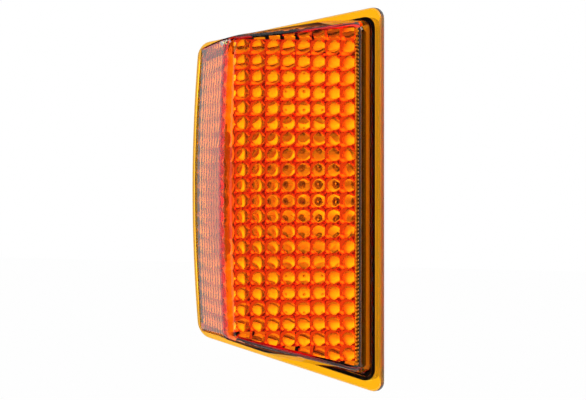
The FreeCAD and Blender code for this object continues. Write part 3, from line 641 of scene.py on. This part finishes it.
class Finish:
    """A material or a world, and the one method that adds a node to it."""

    def __init__(self, name, kind=bpy.data.materials):
        self.block = kind.new(name)
        self.block.use_nodes = True
        self.tree = self.block.node_tree
        self.tree.nodes.clear()

    def add(self, kind, settings=None, sockets=None, output=0):
        node = self.tree.nodes.new(kind)
        for key, value in (settings or {}).items():
            setattr(node, key, value)
        for key, value in (sockets or {}).items():
            if isinstance(value, Signal):
                self.tree.links.new(value.socket, node.inputs[key])
            else:
                node.inputs[key].default_value = value
        return Signal(self, node.outputs[output]) if len(node.outputs) else node

    def place(self):
        return self.add("ShaderNodeTexCoord", output="Object")

    def axes(self):
        """The three coordinates of the place, one by one."""
        place = self.place()
        return [self.add("ShaderNodeSeparateXYZ", {}, {0: place}, output=axis) for axis in "XYZ"]

    def noise(self, scale, detail):
        sockets = {"Vector": self.place(), "Scale": scale, "Detail": detail}
        return self.add("ShaderNodeTexNoise", {}, sockets)

    def step(self, value, start, stop):
        """Goes from 0 to 1 as the value goes from start to stop."""
        sockets = {"Value": value, "From Min": start, "From Max": stop}
        return self.add("ShaderNodeMapRange", {}, sockets)

    def between(self, mask, first, second):
        """Colour that goes from the first to the second as the mask goes from 0 to 1."""
        sockets = {0: mask, 6: (*first, 1), 7: (*second, 1)}
        return self.add("ShaderNodeMix", {"data_type": "RGBA"}, sockets, output=2)

    def bump(self, height, strength, distance):
        sockets = {"Height": height, "Strength": strength, "Distance": distance}
        return self.add("ShaderNodeBump", {}, sockets)

    def surface(self, volume=None, ior=1.5, **sockets):
        """Ends the finish with a shader; a socket's name is written with underscores."""
        named = {key.replace("_", " ").title(): value for key, value in sockets.items()}
        ends = {"Surface": self.add("ShaderNodeBsdfPrincipled", {}, {"IOR": ior, **named})}
        if volume:
            ends["Volume"] = volume
        self.add("ShaderNodeOutputMaterial", {}, ends)
        return self.block


# %% [markdown]
# ## Amber plastic
# The lens is clear acrylic with an amber dye all the way through. Paint on its surface would give every
# part the same orange. A dye makes thin parts yellow, thick parts orange and long paths dark red, so the
# colour is put inside the material: the surface is clear, and the volume takes blue away quickly, green
# slowly and red hardly at all. The flange's outer edge is a little matt, as a trimmed edge is.

# %% Dye the lens
DYE_DENSITY = 1600
DYE_COLOUR = (0.992, 0.852, 0.0, 1)
EDGE_WIDTH = 0.7 * MM
EDGE_ROUGH = 0.55


def from_edge(finish, start, stop):
    """Goes from 0 to 1 between two distances from the flange's outer edge."""
    x, _, z = finish.axes()
    top = FLANGE_TOP + TOP_SLOPE * x - z
    bottom = FLANGE_BOTTOM + BOTTOM_SLOPE * x + z
    return finish.step((FLANGE_RIGHT - x).least(top).least(bottom), start, stop)


def amber_plastic():
    finish = Finish("amber_plastic")
    ripple = finish.noise(scale=55, detail=2.0)
    haze = finish.noise(scale=420, detail=4.0) * 0.02 + 0.012
    rough = haze + from_edge(finish, EDGE_WIDTH, 0) * EDGE_ROUGH
    dye = finish.add("ShaderNodeVolumeAbsorption", {}, {"Color": DYE_COLOUR, "Density": DYE_DENSITY})
    return finish.surface(volume=dye, base_color=(1, 1, 1, 1), roughness=rough, transmission_weight=1.0,
                          ior=1.49, normal=finish.bump(ripple, strength=0.04, distance=1.0 * MM))


lens.data.materials.clear()
lens.data.materials.append(amber_plastic())
print("dye density:", DYE_DENSITY)

# %% [markdown]
# ## Plastics and rubber
# The housing and the holder are pale grey moulded plastic with a fine grain: the flange in front of them
# looks yellow in the photograph, so nothing dark is behind it. The seals are matt rubber. A moulding is
# never one even grey: the grain catches the light, and the gloss changes a little over a wide surface.
# Two noises do that, a fine one in the bump and a broad one in colour and roughness. A recipe is a dark
# and a light tone, the roughness, and the grain's scale and depth.

# %% Finish the plastics
PLASTICS = {
    "grey_housing": ((0.60, 0.60, 0.58), (0.67, 0.67, 0.65), 0.48, 2200, 0.06 * MM),
    "holder_plastic": ((0.72, 0.72, 0.70), (0.80, 0.80, 0.78), 0.50, 2600, 0.05 * MM),
    "seal_rubber": ((0.085, 0.083, 0.080), (0.120, 0.117, 0.112), 0.72, 3200, 0.04 * MM),
    "laminate": ((0.16, 0.070, 0.028), (0.24, 0.110, 0.045), 0.55, 3800, 0.03 * MM),
    "black_glass": ((0.010, 0.010, 0.011), (0.018, 0.018, 0.020), 0.16, 900, 0.02 * MM),
}


def moulded(name, dark, light, rough, grain, depth):
    finish = Finish(name)
    broad = finish.noise(scale=60, detail=3.0)
    fine = finish.noise(scale=grain, detail=2.0)
    colour = finish.between(broad, dark, light)
    return finish.surface(base_color=colour, roughness=broad * 0.12 + fine * 0.08 + (rough - 0.1),
                          normal=finish.bump(fine, strength=0.35, distance=depth))


finishes = {name: moulded(name, *recipe) for name, recipe in PLASTICS.items()}
print("plastics:", sorted(finishes))

# %% [markdown]
# ## Metals
# The screws, studs and spring are zinc plated, with a soft crystal mottle. Brass, nickel wire, tungsten and
# solder differ in colour and in how rough they are, so one recipe with other numbers serves them all: two
# tones, the roughness, and the mottle's scale and depth.

# %% Finish the metals
METALS = {
    "zinc_steel": ((0.50, 0.52, 0.54), (0.70, 0.71, 0.72), 0.34, 700, 0.02 * MM),
    "nickel_wire": ((0.48, 0.47, 0.44), (0.64, 0.62, 0.58), 0.30, 1500, 0.01 * MM),
    "tungsten": ((0.20, 0.20, 0.21), (0.30, 0.30, 0.31), 0.42, 2500, 0.01 * MM),
    "brass": ((0.62, 0.42, 0.14), (0.78, 0.57, 0.24), 0.30, 420, 0.02 * MM),
    "solder": ((0.52, 0.53, 0.54), (0.68, 0.68, 0.69), 0.38, 600, 0.04 * MM),
}


def metal(name, dark, light, rough, scale, depth):
    finish = Finish(name)
    mottle = finish.noise(scale=scale, detail=4.0)
    fine = finish.noise(scale=scale * 9, detail=2.0)
    colour = finish.between(mottle, dark, light)
    return finish.surface(base_color=colour, metallic=1.0, roughness=mottle * 0.14 + (rough - 0.07),
                          normal=finish.bump(fine, strength=0.25, distance=depth))


finishes.update({name: metal(name, *recipe) for name, recipe in METALS.items()})
print("finishes so far:", len(finishes))

# %% [markdown]
# ## The reflector's coat
# The reflector is dark plastic with a vacuum-coated aluminium skin: a bright mirror with a faint haze. Its
# right-hand end is given a dark, matt colour instead of the skin. This is painted shade, which makes the
# lens's end wall look dark. Two materials on the piece would need its mesh to be split, so one material
# changes from metal to the dark painted shade at the mask.

# %% Coat the reflector
# From this x on, the reflector carries painted shade: a dark, matt plastic colour instead of aluminium.
PAINTED_SHADE_FROM = 37.5 * MM
PAINTED_SHADE_BLEND = 0.5 * MM
PAINTED_SHADE_DARK = (0.035, 0.030, 0.028)
ALUMINIUM = (0.91, 0.915, 0.92)


def metallised():
    finish = Finish("metallised")
    # The mask is 1 on the aluminium and 0 on the right-hand end, where the dark colour is painted shade.
    coat_outside_painted_shade = finish.step(finish.axes()[0], PAINTED_SHADE_FROM, PAINTED_SHADE_FROM - PAINTED_SHADE_BLEND)
    haze = finish.noise(scale=90, detail=4.0)
    fine = finish.noise(scale=810, detail=2.0)
    colour = finish.between(coat_outside_painted_shade, PAINTED_SHADE_DARK, ALUMINIUM)
    rough = haze * 0.14 + 0.30 + 0.2 * (1 - coat_outside_painted_shade)
    return finish.surface(base_color=colour, metallic=coat_outside_painted_shade, roughness=rough,
                          normal=finish.bump(fine, strength=0.25, distance=0.01 * MM))


finishes["metallised"] = metallised()
# The printed x is where the painted shade on the reflector begins.
print("bare from x = %.1f mm" % (PAINTED_SHADE_FROM / MM))

# %% [markdown]
# ## Bulb glass
# The bulb is clear soda glass, blown thin. It needs no colour of its own: the faint waviness that blowing
# leaves is what tells it from plastic.

# %% Finish the glass


def clear_glass():
    finish = Finish("clear_glass")
    wave = finish.noise(scale=70, detail=1.0)
    haze = finish.noise(scale=300, detail=3.0) * 0.02
    return finish.surface(base_color=(0.97, 0.98, 0.98, 1), roughness=haze, transmission_weight=1.0,
                          normal=finish.bump(wave, strength=0.08, distance=0.8 * MM))


finishes["clear_glass"] = clear_glass()
for piece in frame["record"]["subparts"]:
    if piece["material_slot"] in finishes:
        mesh = nodes[piece["node"]].data
        mesh.materials.clear()
        mesh.materials.append(finishes[piece["material_slot"]])
studs.data.materials.append(finishes["zinc_steel"])
print("finished:", len(finishes), "slots")

# %% [markdown]
# ## Floor and light
# A glossy, see-through piece shows whatever surrounds it, so the surroundings are chosen with care. The
# floor and the sky are white to the camera, in mirrors and through glass. All white would lay a pale veil
# over every face that mirrors it, so cards stand round the lamp as a photographer's would: black ones where
# the front window, the flange and the walls look, and a grey one where the side window looks. Only mirrors
# see the cards. Four soft lamps light the object itself.

# %% Set the floor
FLOOR_PLAIN = 0.985
FLOOR_LEVEL = -0.30
FLOOR_REACH = 6
WHITE = (1, 1, 1, 1)
PAPER = (0.9, 0.9, 0.9, 1)


def shows_background(finish):
    """1 for rays that show the background: seen directly, in a mirror or through glass."""
    seen, mirrored, through = [finish.add("ShaderNodeLightPath", output="Is %s Ray" % kind)
                               for kind in ("Camera", "Glossy", "Transmission")]
    return seen.most(mirrored).most(through)


def plane_piece(name, reach, placed, finish):
    """Square stage piece with a finish; it reaches as far to each side of its middle."""
    bm = bmesh.new()
    bmesh.ops.create_grid(bm, x_segments=1, y_segments=1, size=reach, matrix=placed)
    piece = to_object(bm, name)
    piece.data.materials.append(finish.block)
    return piece


paper = Finish("floor_paper")
lit = paper.add("ShaderNodeBsdfDiffuse", {}, {"Color": PAPER})
white = paper.add("ShaderNodeEmission", {}, {"Color": WHITE})
mixed = paper.add("ShaderNodeMixShader", {}, {0: shows_background(paper) * FLOOR_PLAIN, 1: lit, 2: white})
paper.add("ShaderNodeOutputMaterial", {}, {"Surface": mixed})
plane_piece("floor", FLOOR_REACH, Matrix.Translation((0, 0, FLOOR_LEVEL)), paper)
print("floor at z = %.3f" % FLOOR_LEVEL)

# %% Stand the cards
CARDS = {
    "front_card": ((0.40, -0.29, 0.02), 0.24, 0.10),
    "top_card": ((-0.24, 0.34, 0.27), 0.17, 0.02),
    "bottom_card": ((-0.24, 0.34, -0.27), 0.17, 0.02),
    "side_card": ((-0.62, 0.44, 0.0), 0.24, 0.45),
    "flange_card": ((-0.112, -0.539, 0.0), 0.22, 0.05),
    "end_card": ((0.49, 0.31, 0.0), 0.17, 0.02),
}
for name, (place, reach, shade) in CARDS.items():
    card_paper = Finish(name)
    glow = card_paper.add("ShaderNodeEmission", {}, {"Color": WHITE, "Strength": shade})
    card_paper.add("ShaderNodeOutputMaterial", {}, {"Surface": glow})
    placed = Vector(place).to_track_quat("Z", "Y").to_matrix().to_4x4()
    placed.translation = place
    card = plane_piece(name, reach, placed, card_paper)
    card.visible_camera = False
    card.visible_diffuse = False
    card.visible_transmission = False
    card.visible_shadow = False
print("cards:", len(CARDS))

# %% Set the sky
SKY_LIGHT = 0.4


def studio_sky():
    sky = Finish("studio", bpy.data.worlds)
    soft = sky.add("ShaderNodeBackground", {}, {"Color": WHITE, "Strength": SKY_LIGHT})
    plain = sky.add("ShaderNodeBackground", {}, {"Color": WHITE})
    mixed = sky.add("ShaderNodeMixShader", {}, {0: shows_background(sky), 1: soft, 2: plain})
    sky.add("ShaderNodeOutputWorld", {}, {"Surface": mixed})
    return sky.block


bpy.context.scene.world = studio_sky()
print("sky:", bpy.context.scene.world.name)

# %% Set the lamps
LAMPS = {
    "key_lamp": ((-0.84, -1.24, 0.25), 1.3, 16, False),
    "side_lamp": ((-1.35, -0.35, 0.2), 0.9, 6, False),
    "front_lamp": ((0.90, -1.05, 0.65), 0.9, 7, False),
    "back_lamp": ((1.2, 0.7, 0.7), 0.8, 5, True),
}


def soft_lamp(name, place, size, power, in_mirrors):
    data = bpy.data.lights.new(name, "AREA")
    data.shape = "DISK"
    data.size = size
    data.energy = power
    lamp = bpy.data.objects.new(name, data)
    bpy.context.scene.collection.objects.link(lamp)
    lamp.location = place
    lamp.rotation_euler = (LOOK_AT - Vector(place)).to_track_quat("-Z", "Y").to_euler()
    lamp.visible_glossy = in_mirrors


for name, recipe in LAMPS.items():
    soft_lamp(name, *recipe)
bpy.context.scene.view_settings.view_transform = "Standard"
print("lamps:", len(bpy.data.lights))
